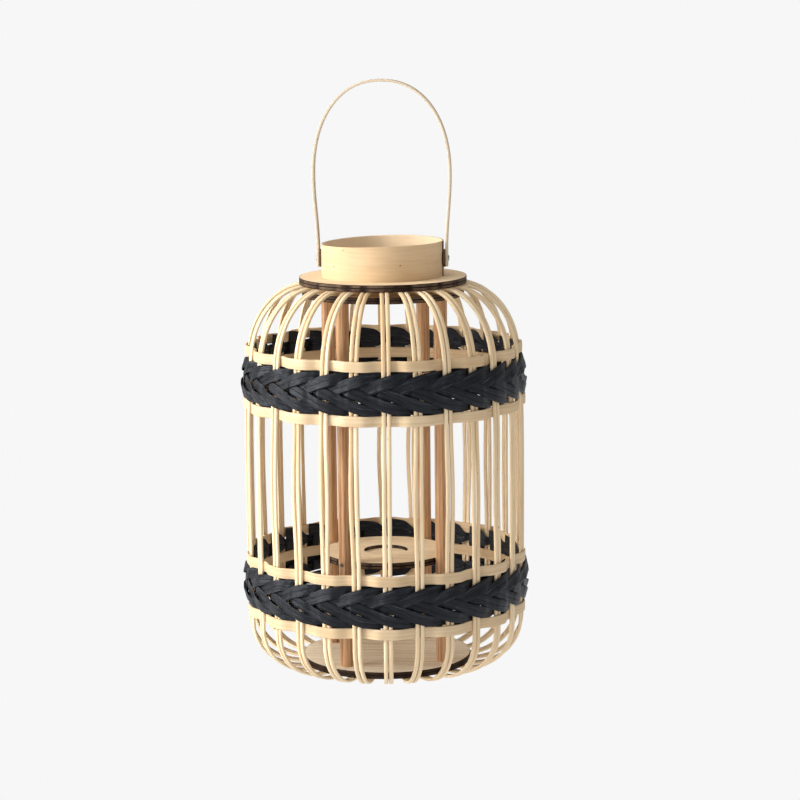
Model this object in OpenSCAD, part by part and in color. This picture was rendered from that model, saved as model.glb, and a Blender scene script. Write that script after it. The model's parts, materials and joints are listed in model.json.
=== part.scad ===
// Bamboo cage lantern: split-bamboo ribs clamped between plywood plates, woven round with
// flat hoops and two dark plaited bands, with a candle platform on four dowel posts inside
// and a flat bamboo bail riveted to the collar round the mouth.
// Millimetres. The origin is the centre of the base on the floor, +Z is up, and the bail
// swings about an axis along X.

/* [Ribs] */
// Number of ribs, even so that the weave closes
rib_count = 28; // [20:2:28]
// Radius to the outside of the ribs halfway up
rib_r = 126; // [123:0.5:127]
// Thickness of a split
rib_t = 2.4; // [2:0.1:2.6]
// Width of one of the two splits of a rib
split_w = 3.8; // [3:0.1:4]
// Gap between the two splits of a rib
split_gap = 0.4; // [0.2:0.1:0.6]
// Height of the top of the ribs
rib_top_z = 351.2; // [348:0.1:356]

/* [Dome and heel] */
// Radius at which a rib leaves the top plate
dome_in_r = 70; // [66:1:74]
// Radius to the outside of the ribs where the dome starts
dome_out_r = 122.6; // [120:0.1:124]
// Height of the curved dome
dome_h = 66.2; // [60:0.2:68]
// Radius at which a rib leaves the base
heel_in_r = 77; // [73:1:80]
// Radius to the outside of the ribs where the heel starts
heel_out_r = 125; // [123:0.5:126]
// Height of the curved heel above the rib's foot
heel_h = 44; // [40:0.5:46]

/* [Weave] */
// Height of a flat woven hoop
hoop_h = 9.6; // [8:0.2:10]
// Thickness of a flat hoop
hoop_t = 1.6; // [1.2:0.1:1.8]
// Height of a plaited band
braid_h = 37; // [34:0.5:38]
// Radius to the outside of the plaited bands
braid_r = 130; // [129.5:0.1:131]
// Thickness of the plait outside the ribs
braid_t = 3.4; // [2:0.1:3.4]
// Height of the middle of the upper band
upper_band_z = 269; // [262:1:270]
// Height of the middle of the lower band
lower_band_z = 82; // [80:1:90]
// Height of the stiffening hoop inside each band
inner_hoop_h = 9.6; // [7:0.1:13]
// Height of the hoop inside a band above the band's middle
inner_hoop_up = 1.7; // [0:0.1:2]

/* [Plywood] */
// Thickness of the plywood sheet
sheet_t = 3; // [2.5:0.1:3.2]
// Radius of the top plate
top_plate_r = 75; // [74:0.5:78]
// Radius of the support ring under the ribs
support_r = 72.5; // [70:0.5:73]
// Radius of the base plate
base_r = 76; // [70:0.5:76.5]
// Radius of the disc that holds the rib feet from below
base_disc_r = 54; // [52:0.5:58]
// Radius of the candle platform
platform_r = 57; // [56.5:0.1:59]
// Height of the underside of the candle platform
platform_z = 100.5; // [90:0.5:110]
// Radius of the hole that seats a tealight
seat_r = 20; // [19:0.5:22]

/* [Posts and fasteners] */
// Diameter of a dowel post
post_d = 12; // [10:0.5:13]
// Radius of the circle that the posts stand on
post_circle_r = 62; // [61:0.5:63]
// Angle of the first post from +X
post_turn = -30; // [-45:5:-15]
// Diameter of a wood screw's shank
screw_d = 2.9; // [2.5:0.1:3.5]
// Diameter of a nail's shank
nail_d = 1.6; // [1.2:0.1:2]

/* [Collar] */
// Outside radius of the collar
collar_r = 54.8; // [54:0.1:56]
// Thickness of the bent veneer
collar_t = 2; // [1.5:0.1:2.5]
// Height of the collar
collar_h = 31.6; // [28:0.2:36]

/* [Handle] */
// Width of the flat strip
handle_w = 9; // [8:0.5:10]
// Thickness of the strip
handle_t = 2.2; // [1.8:0.1:2.6]
// Height of the rivets above the top plate
pivot_h = 15.8; // [14:0.2:18]
// Height of the arch above the rivets
handle_rise = 159; // [140:1:170]
// Height of the widest part above the rivets
handle_wide_h = 74; // [60:1:84]
// How far each leg spreads between the rivet and the widest part
handle_spread = 3.5; // [2:0.1:6]
// How full the arch is: 2 for an ellipse, more for squarer shoulders
handle_fullness = 2.2; // [2:0.1:2.6]
// Diameter of a rivet's shank
rivet_d = 3; // [2.5:0.1:4]
// Diameter of the wooden spacer behind the strip
spacer_d = 16; // [12:0.5:17]
// Thickness of the wooden spacer
spacer_t = 1.5; // [1:0.1:2]

/* [Hidden] */
$fn = 96;
seat_gap = 0.05;      // between faces that are glued or clamped
weave_gap = 0.2;      // between a hoop and the ribs it passes
layer_gap = 0.2;      // between a hoop and the plait above or below it
hole_gap = 0.1;       // diametral clearance of a fastener in its hole
pivot_gap = 0.15;     // on each side of the strip at a rivet
pitch = 360 / rib_count;

// Heights, from the floor up
foot_z = sheet_t + seat_gap;
base_z = foot_z + rib_t + seat_gap;
post_z = base_z + 2 * sheet_t;
top_plate_z = rib_top_z + seat_gap;
collar_z = top_plate_z + 2 * sheet_t;
clamp_t = 2.5;
clamp_z = rib_top_z - rib_t - seat_gap - clamp_t;
support_z = clamp_z - 2 * sheet_t;
pivot_z = collar_z + pivot_h;

// Ribs
dome_z = rib_top_z - dome_h;
heel_z = foot_z + heel_h;
waist_z = 195;        // height of the widest part of a rib
rib_end_r = 56;       // inner end under the top plate
rib_foot_r = 44;      // inner end under the base plate
dome_steps = 14;
side_steps = 12;
heel_steps = 12;

// Bands
hoop_offset = braid_h / 2 + layer_gap + hoop_h / 2;
wave_steps = 8;       // corners of a hoop's outline for each rib
ring_steps = 112;     // corners of a plain hoop's outline

// Plates and posts
mouth_r = collar_r - collar_t;
lip_r = 55.5;         // outside of the clamp ring's lip, inside the rib ends
clamp_r = 60;
base_step_r = 42;     // outside of the base disc's step, inside the rib feet
screw_l = 20;
screw_head_d = 6;
screw_head_t = 2.2;
nail_l = 20;
nail_head_d = 3.2;
nail_head_t = 0.8;
nail_z = platform_z + 1.5 * sheet_t;
post_angles = [for (k = [0:3]) post_turn + 90 * k];

// Collar and handle
seam_turn = -4;       // angle of the veneer's lap from +X
seam_w = 1.6;
seam_depth = 0.5;
spacer_x = collar_r + seat_gap;
strip_x = spacer_x + spacer_t + pivot_gap;
strip_mid_x = strip_x + handle_t / 2;
strip_tail = 7.5;     // length of the strip below the rivet
strip_flat = 8;       // straight length above the rivet
leg_steps = 10;
arch_steps = 24;
rivet_head_d = 5.6;
rivet_head_t = 1;

rib_color = [0.90, 0.80, 0.65];
hoop_color = [0.88, 0.77, 0.60];
braid_color = [0.16, 0.16, 0.18];
ply_color = [0.86, 0.74, 0.56];
veneer_color = [0.87, 0.76, 0.60];
post_color = [0.68, 0.48, 0.33];
handle_color = [0.89, 0.82, 0.72];
metal_color = [0.62, 0.61, 0.58];

function rib_name(i) = str("rib_", i < 10 ? "0" : "", i);

// ---- Outlines

function reverse(points) = [for (i = [len(points) - 1:-1:0]) points[i]];

// Radius of a rib's side at height z, for the surface at depth d under its outside
function side_r(z) = z > waist_z
    ? rib_r - (rib_r - dome_out_r) * pow((z - waist_z) / (dome_z - waist_z), 2.5)
    : rib_r - (rib_r - heel_out_r) * pow((waist_z - z) / (waist_z - heel_z), 2);
function dome_r(z, d) = dome_in_r + (dome_out_r - dome_in_r - d)
    * sqrt(1 - pow((z - dome_z) / (dome_h - d), 2));
function rib_r_at(z, d) = z > dome_z ? dome_r(z, d) : side_r(z) - d;

// A quarter of an ellipse in the plane of a rib, from angle a0 to angle a1
function quarter(cx, cz, a, b, a0, a1, n) =
    [for (i = [0:n]) let (q = a0 + (a1 - a0) * i / n) [cx + a * cos(q), cz + b * sin(q)]];

// One face of a rib, d under its outside, from the top end to the foot
function rib_line(d) = concat(
    [[rib_end_r, rib_top_z - d]],
    quarter(dome_in_r, dome_z, dome_out_r - dome_in_r - d, dome_h - d, 90, 0, dome_steps),
    [for (i = [1:side_steps - 1]) let (z = dome_z + (heel_z - dome_z) * i / side_steps)
        [side_r(z) - d, z]],
    quarter(heel_in_r, heel_z, heel_out_r - heel_in_r - d, heel_h - d, 0, -90, heel_steps),
    [[rib_foot_r, foot_z + d]]);

// Round outline with a corner at each step, waved in and out past the ribs
function wave(q) = max(-1, min(1, 1.25 * cos(180 * (q / pitch - 0.5))));
function wave_outline(r, amp) = [for (i = [0:rib_count * wave_steps - 1])
    let (q = i * pitch / wave_steps, s = r + amp * wave(q)) [s * cos(q), s * sin(q)]];
function round_outline(r) = [for (i = [0:ring_steps - 1])
    let (q = i * 360 / ring_steps) [r * cos(q), r * sin(q)]];

// Middle line of the handle's right half, from the tail to the top of the arch
function handle_half() = concat(
    [[strip_mid_x, pivot_z - strip_tail], [strip_mid_x, pivot_z]],
    [for (i = [0:leg_steps - 1]) let (u = i / leg_steps)
        [strip_mid_x + handle_spread * (1 - cos(180 * u)) / 2,
         pivot_z + strip_flat + (handle_wide_h - strip_flat) * u]],
    [for (i = [0:arch_steps]) let (t = 90 * i / arch_steps)
        [(strip_mid_x + handle_spread) * pow(cos(t), 2 / handle_fullness),
         pivot_z + handle_wide_h
             + (handle_rise - handle_wide_h - handle_t / 2) * pow(sin(t), 2 / handle_fullness)]]);
function mirrored(points) = [for (i = [len(points) - 2:-1:0]) [-points[i].x, points[i].y]];
function offset_line(p, d) = [for (i = [0:len(p) - 1])
    let (t = p[min(i + 1, len(p) - 1)] - p[max(i - 1, 0)]) p[i] + d * [t.y, -t.x] / norm(t)];

// ---- Cage

module split(y) {
    translate([0, y, 0]) rotate([90, 0, 0]) linear_extrude(split_w, center = true)
        polygon(concat(rib_line(0), reverse(rib_line(rib_t))));
}

module rib(i) {
    split_y = (split_w + split_gap) / 2;
    color(rib_color) rotate([0, 0, (i - 0.5) * pitch]) {
        split(split_y);
        split(-split_y);
    }
}

// A flat hoop centred at height z, outside the odd ribs when side is 1 and the even ones when -1
module woven_hoop(z, side) {
    z0 = z - hoop_h / 2;
    z1 = z + hoop_h / 2;
    low_r = min(rib_r_at(z0, rib_t), rib_r_at(z1, rib_t)) - weave_gap - hoop_t / 2;
    high_r = max(rib_r_at(z0, 0), rib_r_at(z1, 0)) + weave_gap + hoop_t / 2;
    mid_r = (low_r + high_r) / 2;
    amp = side * (high_r - low_r) / 2;
    color(hoop_color) translate([0, 0, z0]) linear_extrude(hoop_h) difference() {
        polygon(wave_outline(mid_r + hoop_t / 2, amp));
        polygon(wave_outline(mid_r - hoop_t / 2, amp));
    }
}

module plain_ring(z, h, outer_r, thickness) {
    translate([0, 0, z - h / 2]) linear_extrude(h) difference() {
        polygon(round_outline(outer_r));
        polygon(round_outline(outer_r - thickness));
    }
}

module inner_hoop(z) {
    mid = z + inner_hoop_up;
    outer_r = min(rib_r_at(mid + inner_hoop_h / 2, rib_t), rib_r_at(mid - inner_hoop_h / 2, rib_t));
    color(hoop_color) plain_ring(mid, inner_hoop_h, outer_r - weave_gap, hoop_t);
}

module braid(z) {
    color(braid_color) plain_ring(z, braid_h, braid_r, braid_t);
}

module upper_band_top_hoop() { woven_hoop(upper_band_z + hoop_offset, 1); }
module upper_band_bottom_hoop() { woven_hoop(upper_band_z - hoop_offset, 1); }
module upper_inner_hoop() { inner_hoop(upper_band_z); }
module upper_braid() { braid(upper_band_z); }
module lower_band_top_hoop() { woven_hoop(lower_band_z + hoop_offset, -1); }
module lower_band_bottom_hoop() { woven_hoop(lower_band_z - hoop_offset, -1); }
module lower_inner_hoop() { inner_hoop(lower_band_z); }
module lower_braid() { braid(lower_band_z); }

// ---- Plywood plates and rings

module disc(z, r, hole_r) {
    color(ply_color) translate([0, 0, z]) difference() {
        cylinder(r = r, h = sheet_t);
        translate([0, 0, -1]) cylinder(r = hole_r, h = sheet_t + 2);
    }
}

module at_posts() {
    for (q = post_angles) rotate([0, 0, q]) translate([post_circle_r, 0, 0]) children();
}

// Countersunk screw pointing up, with its head's face at z = 0
module screw(d, head_d) {
    cylinder(d = d, h = screw_l, $fn = 32);
    cylinder(d1 = head_d, d2 = d, h = screw_head_t, $fn = 32);
}

module top_plate_upper() { disc(top_plate_z + sheet_t, top_plate_r, mouth_r); }
module top_plate_lower() { disc(top_plate_z, top_plate_r, mouth_r); }

// The ring that the rib ends lie on, with a lip that closes the gap at the mouth
module rib_clamp_ring() {
    color(ply_color) translate([0, 0, clamp_z]) difference() {
        union() {
            cylinder(r = clamp_r, h = clamp_t);
            cylinder(r = lip_r, h = rib_top_z - clamp_z);
        }
        translate([0, 0, -1]) cylinder(r = mouth_r, h = sheet_t + rib_t + 2);
    }
}

module support_ring_upper() {
    difference() {
        disc(support_z + sheet_t, support_r, mouth_r);
        at_posts() translate([0, 0, clamp_z]) mirror([0, 0, 1])
            screw(screw_d + hole_gap, screw_head_d + hole_gap);
    }
}

module support_ring_lower() {
    difference() {
        disc(support_z, support_r, mouth_r);
        at_posts() translate([0, 0, support_z - 1])
            cylinder(d = screw_d + hole_gap, h = sheet_t + 2, $fn = 32);
    }
}

module base_plate(z) {
    color(ply_color) difference() {
        translate([0, 0, z]) cylinder(r = base_r, h = sheet_t);
        at_posts() translate([0, 0, base_z]) screw(screw_d + hole_gap, screw_head_d + hole_gap);
    }
}

module base_plate_upper() { base_plate(base_z + sheet_t); }
module base_plate_lower() { base_plate(base_z); }

// The disc that the lantern stands on, stepped up inside the rib feet
module base_disc() {
    color(ply_color) {
        cylinder(r = base_disc_r, h = sheet_t);
        cylinder(r = base_step_r, h = base_z - seat_gap);
    }
}

// ---- Posts, candle platform and fasteners

module nail_hole() {
    translate([-nail_l, 0, nail_z]) rotate([0, 90, 0])
        cylinder(d = nail_d + hole_gap, h = 2 * nail_l, $fn = 32);
}

module post(k) {
    color(post_color) rotate([0, 0, post_angles[k]]) translate([post_circle_r, 0, 0]) difference() {
        translate([0, 0, post_z]) cylinder(d = post_d, h = support_z - post_z);
        nail_hole();
        translate([0, 0, base_z]) cylinder(d = screw_d + hole_gap, h = screw_l + 1, $fn = 32);
        translate([0, 0, clamp_z - screw_l - 1])
            cylinder(d = screw_d + hole_gap, h = screw_l + 1, $fn = 32);
    }
}

module post_right_front() { post(0); }
module post_right_back() { post(1); }
module post_left_back() { post(2); }
module post_left_front() { post(3); }

module platform_layer(z) {
    difference() {
        translate([0, 0, z]) cylinder(r = platform_r, h = sheet_t);
        at_posts() translate([0, 0, z - 1]) cylinder(d = post_d + 4 * seat_gap, h = sheet_t + 2);
    }
}

module platform_upper() {
    color(ply_color) difference() {
        platform_layer(platform_z + sheet_t);
        translate([0, 0, platform_z]) cylinder(r = seat_r, h = 3 * sheet_t);
        at_posts() nail_hole();
    }
}

module platform_lower() {
    color(ply_color) platform_layer(platform_z);
}

module platform_nails() {
    color(metal_color) at_posts() translate([post_d / 2 + seat_gap, 0, nail_z]) rotate([0, 90, 0]) {
        translate([0, 0, -nail_l + 1]) cylinder(d = nail_d, h = nail_l, $fn = 32);
        cylinder(d = nail_head_d, h = nail_head_t, $fn = 32);
    }
}

module ring_screws() {
    color(metal_color) at_posts() translate([0, 0, clamp_z - seat_gap]) mirror([0, 0, 1])
        screw(screw_d, screw_head_d);
}

module base_screws() {
    color(metal_color) at_posts() translate([0, 0, base_z + seat_gap]) screw(screw_d, screw_head_d);
}

// ---- Collar, rivets and handle

module collar() {
    color(veneer_color) difference() {
        translate([0, 0, collar_z]) cylinder(r = collar_r, h = collar_h);
        translate([0, 0, collar_z - 1]) cylinder(r = mouth_r, h = collar_h + 2);
        translate([-collar_r - 1, 0, pivot_z]) rotate([0, 90, 0])
            cylinder(d = rivet_d + hole_gap, h = 2 * collar_r + 2, $fn = 32);
        rotate([0, 0, seam_turn]) translate([collar_r - seam_depth, -seam_w / 2, collar_z - 1])
            cube([2, seam_w, collar_h + 2]);
    }
}

module spacer() {
    color(post_color) translate([spacer_x, 0, pivot_z]) rotate([0, 90, 0]) difference() {
        cylinder(d = spacer_d, h = spacer_t);
        translate([0, 0, -1]) cylinder(d = rivet_d + hole_gap, h = spacer_t + 2, $fn = 32);
    }
}

module rivet() {
    inner_x = mouth_r - 0.3;
    outer_x = strip_x + handle_t + pivot_gap;
    color(metal_color) translate([0, 0, pivot_z]) rotate([0, 90, 0]) {
        translate([0, 0, inner_x - rivet_head_t])
            cylinder(d = rivet_head_d, h = rivet_head_t, $fn = 32);
        translate([0, 0, inner_x - rivet_head_t])
            cylinder(d = rivet_d, h = outer_x - inner_x + 1.5 * rivet_head_t, $fn = 32);
        translate([0, 0, outer_x])
            cylinder(d1 = rivet_head_d, d2 = rivet_d, h = rivet_head_t, $fn = 32);
    }
}

module spacer_right() { spacer(); }
module spacer_left() { mirror([1, 0, 0]) spacer(); }
module rivet_right() { rivet(); }
module rivet_left() { mirror([1, 0, 0]) rivet(); }

module handle() {
    middle = concat(handle_half(), mirrored(handle_half()));
    color(handle_color) difference() {
        rotate([90, 0, 0]) linear_extrude(handle_w, center = true)
            polygon(concat(offset_line(middle, handle_t / 2), reverse(offset_line(middle, -handle_t / 2))));
        translate([-strip_mid_x - handle_t, 0, pivot_z]) rotate([0, 90, 0])
            cylinder(d = rivet_d + hole_gap, h = 2 * (strip_mid_x + handle_t), $fn = 32);
    }
}

for (i = [1:rib_count]) rib(i);
upper_band_top_hoop();
upper_band_bottom_hoop();
upper_inner_hoop();
upper_braid();
lower_band_top_hoop();
lower_band_bottom_hoop();
lower_inner_hoop();
lower_braid();
top_plate_upper();
top_plate_lower();
rib_clamp_ring();
support_ring_upper();
support_ring_lower();
post_right_front();
post_right_back();
post_left_back();
post_left_front();
platform_upper();
platform_lower();
platform_nails();
ring_screws();
base_screws();
base_plate_upper();
base_plate_lower();
base_disc();
collar();
spacer_right();
spacer_left();
rivet_right();
rivet_left();
handle();
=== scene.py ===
"""Bamboo cage lantern: the looks of each piece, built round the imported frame."""

import json
import math
import random

import bmesh
import bpy
import numpy as np
from mathutils import Matrix, Vector

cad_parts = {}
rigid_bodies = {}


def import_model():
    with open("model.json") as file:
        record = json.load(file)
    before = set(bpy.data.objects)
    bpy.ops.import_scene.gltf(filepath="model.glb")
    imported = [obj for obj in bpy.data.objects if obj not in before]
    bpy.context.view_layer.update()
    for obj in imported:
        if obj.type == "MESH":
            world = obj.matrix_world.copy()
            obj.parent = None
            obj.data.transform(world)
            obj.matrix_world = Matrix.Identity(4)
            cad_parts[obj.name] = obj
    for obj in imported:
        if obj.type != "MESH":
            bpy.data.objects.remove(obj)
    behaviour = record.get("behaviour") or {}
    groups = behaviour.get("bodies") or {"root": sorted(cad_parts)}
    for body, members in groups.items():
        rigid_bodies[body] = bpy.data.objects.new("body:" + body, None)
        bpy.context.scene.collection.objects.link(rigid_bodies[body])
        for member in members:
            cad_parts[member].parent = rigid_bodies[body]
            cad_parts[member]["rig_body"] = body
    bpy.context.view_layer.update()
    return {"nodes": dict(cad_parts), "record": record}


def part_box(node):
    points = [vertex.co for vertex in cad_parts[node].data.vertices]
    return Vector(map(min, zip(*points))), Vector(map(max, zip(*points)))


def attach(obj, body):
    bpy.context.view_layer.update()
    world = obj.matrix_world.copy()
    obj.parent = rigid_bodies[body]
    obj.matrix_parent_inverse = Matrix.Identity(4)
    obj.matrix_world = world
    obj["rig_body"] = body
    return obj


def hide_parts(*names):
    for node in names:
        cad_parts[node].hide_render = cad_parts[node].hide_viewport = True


bl_info = {
    "name": "Bamboo Cage Lantern",
    "version": (1, 0, 0),
    "blender": (4, 5, 0),
    "location": "View3D > Sidebar > Lantern",
    "description": "Split bamboo ribs, woven hoops, plaited bands and finishes for a cage lantern",
    "category": "Object",
}

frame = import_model()

MM = 0.001
RIB_NODES = sorted(name for name in frame["nodes"] if name.startswith("rib_") and name[4:].isdigit())
RIB_COUNT = len(RIB_NODES)
PITCH = 2 * math.pi / RIB_COUNT
PLY_NODES = [s["node"] for s in frame["record"]["subparts"] if s["material_slot"] == "plywood"]
POST_NODES = sorted(name for name in frame["nodes"] if name.startswith("post_"))
BANDS = ("upper", "lower")
CAGE = "lantern"
BAIL = "handle"


# ---------------------------------------------------------------------------
# Sizes and colours that a user would change
# ---------------------------------------------------------------------------


def length(name, description, default):
    return bpy.props.FloatProperty(
        name=name, description=description, default=default, min=0.0,
        subtype="DISTANCE", unit="LENGTH", precision=4)


def colour(name, description, default):
    return bpy.props.FloatVectorProperty(
        name=name, description=description, default=default, min=0.0, max=1.0, size=3, subtype="COLOR")


class LanternSizes(bpy.types.PropertyGroup):
    """Lengths of the pieces that this file shapes, in metres."""

    split_width: length("Split width", "Width of one of the two splits of a rib", 3.8 * MM)
    split_thickness: length("Split thickness", "Thickness of a split in its middle", 2.4 * MM)
    split_gap: length("Split gap", "Gap between the two splits of a rib", 0.4 * MM)
    dome_in: length("Dome start", "Radius at which a rib leaves the top plate", 70 * MM)
    dome_out: length("Dome end", "Radius of a rib where the dome meets the side", 122.6 * MM)
    dome_height: length("Dome height", "Height of the curved dome", 66.2 * MM)
    heel_in: length("Heel start", "Radius at which a rib leaves the base", 77 * MM)
    heel_out: length("Heel end", "Radius of a rib where the heel meets the side", 125 * MM)
    heel_height: length("Heel height", "Height of the curved heel", 44 * MM)
    side_radius: length("Side radius", "Outside radius of the ribs halfway up", 126 * MM)
    waist_height: length("Waist height", "Height of the widest part of a rib", 195 * MM)
    rib_end: length("Rib end", "Radius of a rib's end under the top plate", 56 * MM)
    rib_foot: length("Rib foot", "Radius of a rib's end under the base plate", 44 * MM)
    hoop_thickness: length("Hoop thickness", "Thickness of a flat hoop", 1.6 * MM)
    strand_width: length("Strand width", "Width of one of the two strands of a plait strip", 5.2 * MM)
    strand_thickness: length("Strand thickness", "Thickness of a strand of the plait", 1.0 * MM)
    handle_width: length("Handle width", "Width of the handle's strip", 9 * MM)
    handle_thickness: length("Handle thickness", "Thickness of the handle's strip", 2.2 * MM)
    handle_wide: length("Widest above rivets", "Height of the widest part above the rivets", 74 * MM)
    handle_flat: length("Straight above rivets", "Straight length of the strip above a rivet", 8 * MM)
    handle_fullness: bpy.props.FloatProperty(
        name="Handle fullness", description="2 for an elliptical arch, more for squarer shoulders",
        default=2.2, min=2.0, max=3.0)
    collar_slope: length("Collar slope", "How much lower the collar's rim is cut on the left", 2.4 * MM)
    veneer_lap: length("Veneer lap", "Height of the step where the collar's veneer laps", 0.8 * MM)


class LanternColours(bpy.types.PropertyGroup):
    """Colours of the finishes, as linear values."""

    bamboo_light: colour("Bamboo light", "Pale fibre of the split bamboo", (0.86, 0.70, 0.47))
    bamboo_dark: colour("Bamboo dark", "Darker fibre of the split bamboo", (0.62, 0.43, 0.23))
    hoop_light: colour("Hoop light", "Pale fibre of the woven hoops", (0.71, 0.55, 0.35))
    hoop_dark: colour("Hoop dark", "Darker fibre of the woven hoops", (0.52, 0.35, 0.18))
    handle_light: colour("Handle light", "Pale fibre of the handle", (0.64, 0.53, 0.39))
    handle_dark: colour("Handle dark", "Darker fibre of the handle", (0.53, 0.42, 0.285))
    dye: colour("Dye", "Black dye of the plait", (0.003, 0.003, 0.0035))
    # Paler fibres of the plait: part rubbed dye, part painted sheen in a bluish grey.
    dye_worn_and_sheen: colour("Worn dye and sheen", "Paler fibres of the dyed plait", (0.075, 0.080, 0.104))
    ply_face: colour("Plywood face", "Face of the plywood", (0.86, 0.67, 0.445))
    ply_grain: colour("Plywood grain", "Grain lines of the plywood", (0.60, 0.40, 0.21))
    veneer_face: colour("Veneer face", "Face of the collar's veneer", (0.66, 0.475, 0.285))
    veneer_grain: colour("Veneer grain", "Grain of the collar's veneer", (0.54, 0.365, 0.20))
    veneer_inside: colour("Veneer inside", "Paler inside of the collar's veneer", (0.87, 0.70, 0.49))
    knot: colour("Knot", "Small knots in the collar's veneer", (0.24, 0.11, 0.045))
    # Paler face for the base only: painted light for the light that its shaded top lacks.
    ply_base_painted_light: colour("Base plywood, painted light", "Face of the base's plywood", (0.97, 0.86, 0.68))
    burnt: colour("Burnt edge", "Edge browned by the laser", (0.012, 0.005, 0.0025))
    burnt_light: colour("Burnt core", "Paler plies in a burnt edge", (0.32, 0.21, 0.135))
    dowel_light: colour("Dowel light", "Pale grain of the dowels", (0.70, 0.42, 0.22))
    dowel_dark: colour("Dowel dark", "Dark grain of the dowels", (0.30, 0.125, 0.05))
    metal: colour("Metal", "Rivets, nails and screws", (0.50, 0.49, 0.47))


def sizes():
    return bpy.context.scene.lantern_sizes


def colours():
    return bpy.context.scene.lantern_colours


# ---------------------------------------------------------------------------
# Shader maths
# ---------------------------------------------------------------------------


class Flow:
    """A socket in a material. Arithmetic on it adds Math nodes, and node() adds any other."""

    def __init__(self, tree, socket=None):
        self.tree = tree
        self.socket = socket

    def node(self, kind, settings=None, inputs=None, output=0):
        made = self.tree.nodes.new(kind)
        for name, value in (settings or {}).items():
            setattr(made, name, value)
        for key, value in (inputs or {}).items():
            if isinstance(key, int):
                target = made.inputs[key]
            else:
                target = next(s for s in made.inputs if s.name == key and s.enabled)
            if isinstance(value, Flow):
                self.tree.links.new(value.socket, target)
            else:
                target.default_value = value
        found = made.outputs[output] if isinstance(output, int) else next(
            s for s in made.outputs if s.name == output and s.enabled)
        return Flow(self.tree, found)

    def _math(self, operation, *values):
        return self.node("ShaderNodeMath", {"operation": operation}, dict(enumerate(values)))

    def __add__(self, other):
        return self._math("ADD", self, other)

    __radd__ = __add__

    def __sub__(self, other):
        return self._math("SUBTRACT", self, other)

    def __rsub__(self, other):
        return self._math("SUBTRACT", other, self)

    def __mul__(self, other):
        return self._math("MULTIPLY", self, other)

    __rmul__ = __mul__

    def __abs__(self):
        return self._math("ABSOLUTE", self)


def step(flow, low, high):
    """0 below low and 1 above high, smooth between them."""
    return flow.node(
        "ShaderNodeMapRange", {"interpolation_type": "SMOOTHSTEP"},
        {"Value": flow, "From Min": low, "From Max": high}, "Result")


def shaded(tone, amount):
    """A plain colour made darker."""
    return tuple(amount * value for value in tone)


def blend(factor, first, second):
    """A colour between two colours, which are flows or plain colours."""
    first, second = (c if isinstance(c, Flow) else (*c, 1.0) for c in (first, second))
    return factor.node(
        "ShaderNodeMix", {"data_type": "RGBA"}, {"Factor": factor, "A": first, "B": second}, "Result")


def stretch(flow, x, y, z):
    """Coordinates multiplied by x, y and z. Noise on them repeats about that many times a metre."""
    return flow.node(
        "ShaderNodeVectorMath", {"operation": "MULTIPLY"}, {0: flow, 1: (x, y, z)}, "Vector")


def noise(flow, detail=2.0, roughness=0.5):
    """Noise from 0 to 1 on stretched coordinates."""
    return flow.node(
        "ShaderNodeTexNoise", None,
        {"Vector": flow, "Scale": 1.0, "Detail": detail, "Roughness": roughness}, "Fac")


def part_of(flow, name):
    """The X, Y or Z of a vector."""
    return flow.node("ShaderNodeSeparateXYZ", None, {"Vector": flow}, name)


def new_material(name, specular=0.5, coat=0.0):
    """A material with its shader, and a flow that starts in its node tree."""
    material = bpy.data.materials.new(name)
    material.use_nodes = True
    tree = material.node_tree
    shader = tree.nodes["Principled BSDF"]
    shader.inputs["Specular IOR Level"].default_value = specular
    shader.inputs["Coat Weight"].default_value = coat
    return material, shader, Flow(tree)


def surface(shader, colour_flow, roughness, height, strength, distance):
    """Joins a colour, a roughness and a bump height to the shader."""
    links = colour_flow.tree.links
    links.new(colour_flow.socket, shader.inputs["Base Color"])
    links.new(roughness.socket, shader.inputs["Roughness"])
    bump = height.node(
        "ShaderNodeBump", None, {"Strength": strength, "Distance": distance, "Height": height})
    links.new(bump.socket, shader.inputs["Normal"])


# ---------------------------------------------------------------------------
# Materials
# ---------------------------------------------------------------------------


def bamboo(name, light, dark, gloss=0.42, relief=0.35):
    """Split bamboo: long fine fibres along the strip, a slow change of tone, and small brown flecks."""
    material, shader, flow = new_material(name, specular=0.45, coat=0.06)
    shader.inputs["Coat Roughness"].default_value = 0.35
    grain = flow.node("ShaderNodeAttribute", {"attribute_name": "grain"}, None, "Vector")
    fibre = noise(stretch(grain, 45, 2300, 1), 3.0, 0.6)
    streak = noise(stretch(grain, 9, 620, 1), 2.0)
    tone = noise(stretch(grain, 5, 20, 1), 1.0)
    fleck = step(noise(stretch(grain, 170, 1300, 1), 2.0), 0.69, 0.78)
    shade = step(streak * 0.5 + fibre * 0.3 + tone * 0.5, 0.42, 0.92)
    brown = shaded(dark, 0.45)
    base = blend(fleck * 0.55, blend(shade, light, dark), brown)
    surface(shader, base, gloss + fibre * 0.25, fibre + streak * 0.6, relief, 0.12 * MM)
    return material


def dyed_strip(name):
    """Flat strip dyed black: close parallel fibres that catch the light, and paler ones, part rubbed dye
    and part painted sheen.
    """
    c = colours()
    material, shader, flow = new_material(name, specular=0.27)
    shader.inputs["Specular Tint"].default_value = (0.80, 0.87, 1.0, 1.0)
    grain = flow.node("ShaderNodeAttribute", {"attribute_name": "grain"}, None, "Vector")
    fibre = noise(stretch(grain, 60, 2600, 1), 3.0, 0.65)
    ridge = noise(stretch(grain, 14, 900, 1), 2.0)
    # Paler fibres, part rubbed dye and part painted sheen.
    worn_and_sheen = step(fibre * 0.75 + ridge * 0.35, 0.57, 0.76)
    tone = noise(stretch(grain, 20, 60, 1), 1.0)
    base = blend(worn_and_sheen * (tone + 0.35), c.dye, c.dye_worn_and_sheen)
    surface(shader, base, 0.28 + fibre * 0.30, fibre + ridge * 0.8, 0.9, 0.35 * MM)
    return material


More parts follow.
